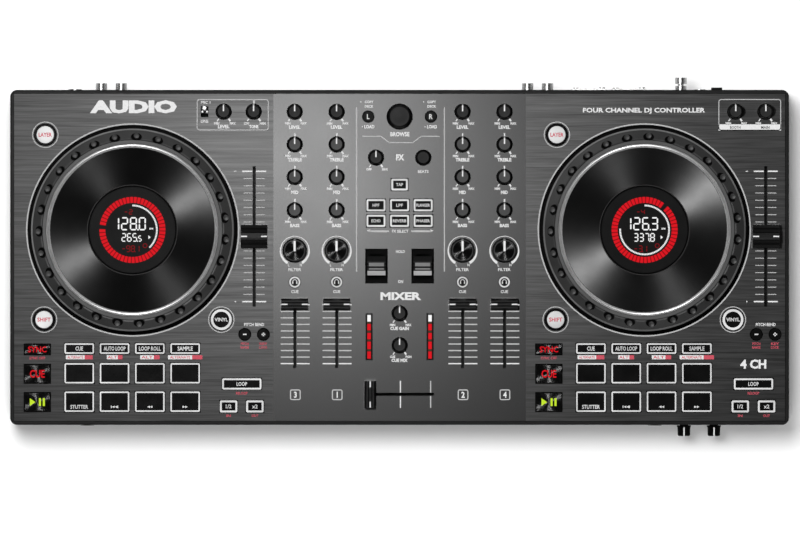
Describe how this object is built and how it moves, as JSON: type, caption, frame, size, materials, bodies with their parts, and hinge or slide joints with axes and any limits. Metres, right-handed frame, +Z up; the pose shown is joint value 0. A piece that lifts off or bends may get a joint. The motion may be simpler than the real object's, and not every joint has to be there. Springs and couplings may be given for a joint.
{
  "type": "dj controller",
  "caption": "Tabletop DJ controller with two jog wheel decks and a mixer between them: turning knobs, sliding faders, rocking paddles, pressing buttons and sockets on two edges.",
  "frame": {"origin": "on the table, under the middle of the case, at the centre foot's lower face", "axes": "+X to the player's right, +Y to the rear, +Z up"},
  "size_m": [0.5544, 0.2557, 0.0556],
  "materials": {
    "case_plastic": "moulded black plastic, fine grain",
    "deck_panel": "brushed, dark grey",
    "mixer_panel": "smooth satin, mid grey",
    "foot_rubber": "matte",
    "screw_steel": "blackened steel",
    "circuit_board": "green solder mask",
    "component_black": "moulded",
    "display_black": "smoked window",
    "socket_metal": "bright plated",
    "lever_chrome": "bright plated",
    "button_black": "glossy black",
    "jog_black": "glossy black",
    "trim_silver": "satin ring",
    "knob_black": "soft touch black",
    "fader_black": "satin black",
    "paddle_black": "satin black",
    "print_white": "screen printed ink",
    "print_red": "screen printed ink",
    "light_red": "lit from behind",
    "light_white": "lit from behind",
    "light_green": "lit from behind"
  },
  "bodies": {
    "case": {"bottom_case": "case_plastic", "case_screws": "screw_steel", "circuit_boards": "circuit_board", "connectors": "socket_metal", "displays_and_meters": "display_black", "left_deck_panel": "deck_panel", "mixer_panel": "mixer_panel", "pots_and_faders": "component_black", "right_deck_panel": "deck_panel", "rubber_feet": "foot_rubber", "top_case": "case_plastic"},
    "booth_knob": {"booth_knob": "knob_black"},
    "browse_knob": {"browse_knob": "knob_black"},
    "channel_1_bass_knob": {"channel_1_bass_knob": "knob_black"},
    "channel_1_fader": {"channel_1_fader": "fader_black"},
    "channel_1_filter_knob": {"channel_1_filter_knob": "knob_black"},
    "channel_1_level_knob": {"channel_1_level_knob": "knob_black"},
    "channel_1_mid_knob": {"channel_1_mid_knob": "knob_black"},
    "channel_1_treble_knob": {"channel_1_treble_knob": "knob_black"},
    "channel_2_bass_knob": {"channel_2_bass_knob": "knob_black"},
    "channel_2_fader": {"channel_2_fader": "fader_black"},
    "channel_2_filter_knob": {"channel_2_filter_knob": "knob_black"},
    "channel_2_level_knob": {"channel_2_level_knob": "knob_black"},
    "channel_2_mid_knob": {"channel_2_mid_knob": "knob_black"},
    "channel_2_treble_knob": {"channel_2_treble_knob": "knob_black"},
    "channel_3_bass_knob": {"channel_3_bass_knob": "knob_black"},
    "channel_3_fader": {"channel_3_fader": "fader_black"},
    "channel_3_filter_knob": {"channel_3_filter_knob": "knob_black"},
    "channel_3_level_knob": {"channel_3_level_knob": "knob_black"},
    "channel_3_mid_knob": {"channel_3_mid_knob": "knob_black"},
    "channel_3_treble_knob": {"channel_3_treble_knob": "knob_black"},
    "channel_4_bass_knob": {"channel_4_bass_knob": "knob_black"},
    "channel_4_fader": {"channel_4_fader": "fader_black"},
    "channel_4_filter_knob": {"channel_4_filter_knob": "knob_black"},
    "channel_4_level_knob": {"channel_4_level_knob": "knob_black"},
    "channel_4_mid_knob": {"channel_4_mid_knob": "knob_black"},
    "channel_4_treble_knob": {"channel_4_treble_knob": "knob_black"},
    "crossfader": {"crossfader": "fader_black"},
    "cue_gain_knob": {"cue_gain_knob": "knob_black"},
    "cue_mix_knob": {"cue_mix_knob": "knob_black"},
    "effect_beats_knob": {"effect_beats_knob": "knob_black"},
    "effect_level_knob": {"effect_level_knob": "knob_black"},
    "input_toggle": {"input_toggle": "lever_chrome"},
    "left_deck_buttons": {"left_deck_buttons": "button_black"},
    "left_effect_paddle": {"left_effect_paddle": "paddle_black"},
    "left_jog_wheel": {"left_jog_wheel": "jog_black"},
    "left_pads": {"left_pads": "button_black"},
    "left_pitch_fader": {"left_pitch_fader": "fader_black"},
    "main_knob": {"main_knob": "knob_black"},
    "mic_level_knob": {"mic_level_knob": "knob_black"},
    "mic_tone_knob": {"mic_tone_knob": "knob_black"},
    "mic_two_level_knob": {"mic_two_level_knob": "knob_black"},
    "mic_two_tone_knob": {"mic_two_tone_knob": "knob_black"},
    "mixer_buttons": {"mixer_buttons": "button_black"},
    "power_button": {"power_button": "button_black"},
    "right_deck_buttons": {"right_deck_buttons": "button_black"},
    "right_effect_paddle": {"right_effect_paddle": "paddle_black"},
    "right_jog_wheel": {"right_jog_wheel": "jog_black"},
    "right_pads": {"right_pads": "button_black"},
    "right_pitch_fader": {"right_pitch_fader": "fader_black"}
  },
  "joints": [
    {"name": "channel_3_level_knob_turn", "type": "hinge", "parent": "case", "child": "channel_3_level_knob", "pos_m": [-0.0746, 0.1036, 0.04], "axis": [0, 0, 1], "range_deg": [-145, 145]},
    {"name": "channel_3_treble_knob_turn", "type": "hinge", "parent": "case", "child": "channel_3_treble_knob", "pos_m": [-0.0746, 0.0804, 0.04], "axis": [0, 0, 1], "range_deg": [-145, 145]},
    {"name": "channel_3_mid_knob_turn", "type": "hinge", "parent": "case", "child": "channel_3_mid_knob", "pos_m": [-0.0746, 0.0572, 0.04], "axis": [0, 0, 1], "range_deg": [-145, 145]},
    {"name": "channel_3_bass_knob_turn", "type": "hinge", "parent": "case", "child": "channel_3_bass_knob", "pos_m": [-0.0746, 0.0336, 0.04], "axis": [0, 0, 1], "range_deg": [-145, 145]},
    {"name": "channel_3_filter_knob_turn", "type": "hinge", "parent": "case", "child": "channel_3_filter_knob", "pos_m": [-0.0746, 0.0049, 0.04], "axis": [0, 0, 1], "range_deg": [-145, 145]},
    {"name": "channel_3_fader_slide", "type": "slide", "parent": "case", "child": "channel_3_fader", "axis": [0, -1, 0], "range_m": [0, 0.042]},
    {"name": "channel_1_level_knob_turn", "type": "hinge", "parent": "case", "child": "channel_1_level_knob", "pos_m": [-0.0448, 0.1036, 0.04], "axis": [0, 0, 1], "range_deg": [-145, 145]},
    {"name": "channel_1_treble_knob_turn", "type": "hinge", "parent": "case", "child": "channel_1_treble_knob", "pos_m": [-0.0448, 0.0804, 0.04], "axis": [0, 0, 1], "range_deg": [-145, 145]},
    {"name": "channel_1_mid_knob_turn", "type": "hinge", "parent": "case", "child": "channel_1_mid_knob", "pos_m": [-0.0448, 0.0572, 0.04], "axis": [0, 0, 1], "range_deg": [-145, 145]},
    {"name": "channel_1_bass_knob_turn", "type": "hinge", "parent": "case", "child": "channel_1_bass_knob", "pos_m": [-0.0448, 0.0336, 0.04], "axis": [0, 0, 1], "range_deg": [-145, 145]},
    {"name": "channel_1_filter_knob_turn", "type": "hinge", "parent": "case", "child": "channel_1_filter_knob", "pos_m": [-0.0448, 0.0049, 0.04], "axis": [0, 0, 1], "range_deg": [-145, 145]},
    {"name": "channel_1_fader_slide", "type": "slide", "parent": "case", "child": "channel_1_fader", "axis": [0, -1, 0], "range_m": [0, 0.042]},
    {"name": "channel_2_level_knob_turn", "type": "hinge", "parent": "case", "child": "channel_2_level_knob", "pos_m": [0.0448, 0.1036, 0.04], "axis": [0, 0, 1], "range_deg": [-145, 145]},
    {"name": "channel_2_treble_knob_turn", "type": "hinge", "parent": "case", "child": "channel_2_treble_knob", "pos_m": [0.0448, 0.0804, 0.04], "axis": [0, 0, 1], "range_deg": [-145, 145]},
    {"name": "channel_2_mid_knob_turn", "type": "hinge", "parent": "case", "child": "channel_2_mid_knob", "pos_m": [0.0448, 0.0572, 0.04], "axis": [0, 0, 1], "range_deg": [-145, 145]},
    {"name": "channel_2_bass_knob_turn", "type": "hinge", "parent": "case", "child": "channel_2_bass_knob", "pos_m": [0.0448, 0.0336, 0.04], "axis": [0, 0, 1], "range_deg": [-145, 145]},
    {"name": "channel_2_filter_knob_turn", "type": "hinge", "parent": "case", "child": "channel_2_filter_knob", "pos_m": [0.0448, 0.0049, 0.04], "axis": [0, 0, 1], "range_deg": [-145, 145]},
    {"name": "channel_2_fader_slide", "type": "slide", "parent": "case", "child": "channel_2_fader", "axis": [0, -1, 0], "range_m": [0, 0.042]},
    {"name": "channel_4_level_knob_turn", "type": "hinge", "parent": "case", "child": "channel_4_level_knob", "pos_m": [0.0746, 0.1036, 0.04], "axis": [0, 0, 1], "range_deg": [-145, 145]},
    {"name": "channel_4_treble_knob_turn", "type": "hinge", "parent": "case", "child": "channel_4_treble_knob", "pos_m": [0.0746, 0.0804, 0.04], "axis": [0, 0, 1], "range_deg": [-145, 145]},
    {"name": "channel_4_mid_knob_turn", "type": "hinge", "parent": "case", "child": "channel_4_mid_knob", "pos_m": [0.0746, 0.0572, 0.04], "axis": [0, 0, 1], "range_deg": [-145, 145]},
    {"name": "channel_4_bass_knob_turn", "type": "hinge", "parent": "case", "child": "channel_4_bass_knob", "pos_m": [0.0746, 0.0336, 0.04], "axis": [0, 0, 1], "range_deg": [-145, 145]},
    {"name": "channel_4_filter_knob_turn", "type": "hinge", "parent": "case", "child": "channel_4_filter_knob", "pos_m": [0.0746, 0.0049, 0.04], "axis": [0, 0, 1], "range_deg": [-145, 145]},
    {"name": "channel_4_fader_slide", "type": "slide", "parent": "case", "child": "channel_4_fader", "axis": [0, -1, 0], "range_m": [0, 0.042]},
    {"name": "crossfader_slide", "type": "slide", "parent": "case", "child": "crossfader", "axis": [1, 0, 0], "range_m": [0, 0.042]},
    {"name": "cue_gain_knob_turn", "type": "hinge", "parent": "case", "child": "cue_gain_knob", "pos_m": [0, -0.0398, 0.04], "axis": [0, 0, 1], "range_deg": [-145, 145]},
    {"name": "cue_mix_knob_turn", "type": "hinge", "parent": "case", "child": "cue_mix_knob", "pos_m": [0, -0.0625, 0.04], "axis": [0, 0, 1], "range_deg": [-145, 145]},
    {"name": "effect_level_knob_turn", "type": "hinge", "parent": "case", "child": "effect_level_knob", "pos_m": [-0.0168, 0.071, 0.04], "axis": [0, 0, 1], "range_deg": [-145, 145]},
    {"name": "effect_beats_knob_turn", "type": "hinge", "parent": "case", "child": "effect_beats_knob", "pos_m": [0.0168, 0.071, 0.04], "axis": [0, 0, 1], "continuous": true},
    {"name": "browse_knob_turn", "type": "hinge", "parent": "case", "child": "browse_knob", "pos_m": [0, 0.1002, 0.04], "axis": [0, 0, 1], "continuous": true},
    {"name": "mic_level_knob_turn", "type": "hinge", "parent": "case", "child": "mic_level_knob", "pos_m": [-0.1252, 0.1037, 0.04], "axis": [0, 0, 1], "range_deg": [-145, 145]},
    {"name": "mic_tone_knob_turn", "type": "hinge", "parent": "case", "child": "mic_tone_knob", "pos_m": [-0.1038, 0.1037, 0.04], "axis": [0, 0, 1], "range_deg": [-145, 145]},
    {"name": "booth_knob_turn", "type": "hinge", "parent": "case", "child": "booth_knob", "pos_m": [0.239, 0.1037, 0.04], "axis": [0, 0, 1], "range_deg": [-145, 145]},
    {"name": "main_knob_turn", "type": "hinge", "parent": "case", "child": "main_knob", "pos_m": [0.2604, 0.1037, 0.04], "axis": [0, 0, 1], "range_deg": [-145, 145]},
    {"name": "mic_two_level_knob_turn", "type": "hinge", "parent": "case", "child": "mic_two_level_knob", "pos_m": [0.2029, -0.11925, 0.017], "axis": [0, 1, 0], "range_deg": [-145, 145]},
    {"name": "mic_two_tone_knob_turn", "type": "hinge", "parent": "case", "child": "mic_two_tone_knob", "pos_m": [0.2243, -0.11925, 0.017], "axis": [0, 1, 0], "range_deg": [-145, 145]},
    {"name": "left_jog_wheel_turn", "type": "hinge", "parent": "case", "child": "left_jog_wheel", "pos_m": [-0.19, 0.0195, 0.045], "axis": [0, 0, 1], "continuous": true},
    {"name": "left_pitch_fader_slide", "type": "slide", "parent": "case", "child": "left_pitch_fader", "axis": [0, 1, 0], "range_m": [-0.0465, 0.0465]},
    {"name": "left_pads_press", "type": "slide", "parent": "case", "child": "left_pads", "axis": [0, 0, -1], "range_m": [0, 0.0006], "stiffness_N_per_m": 300, "springref_m": -0.002},
    {"name": "left_deck_buttons_press", "type": "slide", "parent": "case", "child": "left_deck_buttons", "axis": [0, 0, -1], "range_m": [0, 0.0006], "stiffness_N_per_m": 300, "springref_m": -0.002},
    {"name": "right_jog_wheel_turn", "type": "hinge", "parent": "case", "child": "right_jog_wheel", "pos_m": [0.1742, 0.0195, 0.045], "axis": [0, 0, 1], "continuous": true},
    {"name": "right_pitch_fader_slide", "type": "slide", "parent": "case", "child": "right_pitch_fader", "axis": [0, 1, 0], "range_m": [-0.0465, 0.0465]},
    {"name": "right_pads_press", "type": "slide", "parent": "case", "child": "right_pads", "axis": [0, 0, -1], "range_m": [0, 0.0006], "stiffness_N_per_m": 300, "springref_m": -0.002},
    {"name": "right_deck_buttons_press", "type": "slide", "parent": "case", "child": "right_deck_buttons", "axis": [0, 0, -1], "range_m": [0, 0.0006], "stiffness_N_per_m": 300, "springref_m": -0.002},
    {"name": "mixer_buttons_press", "type": "slide", "parent": "case", "child": "mixer_buttons", "axis": [0, 0, -1], "range_m": [0, 0.0006], "stiffness_N_per_m": 300, "springref_m": -0.002},
    {"name": "power_button_press", "type": "slide", "parent": "case", "child": "power_button", "axis": [0, -1, 0], "range_m": [0, 0.0012], "stiffness_N_per_m": 300, "springref_m": -0.002},
    {"name": "left_effect_paddle_rock", "type": "hinge", "parent": "case", "child": "left_effect_paddle", "pos_m": [-0.01645, -0.0062, 0.032], "axis": [1, 0, 0], "range_deg": [-15, 15], "stiffness_Nm_per_rad": 0.15},
    {"name": "right_effect_paddle_rock", "type": "hinge", "parent": "case", "child": "right_effect_paddle", "pos_m": [0.01645, -0.0062, 0.032], "axis": [1, 0, 0], "range_deg": [-15, 15], "stiffness_Nm_per_rad": 0.15},
    {"name": "input_toggle_rock", "type": "hinge", "parent": "case", "child": "input_toggle", "pos_m": [-0.1388, 0.1037, 0.035], "axis": [1, 0, 0], "range_deg": [0, 24]}
  ]
}
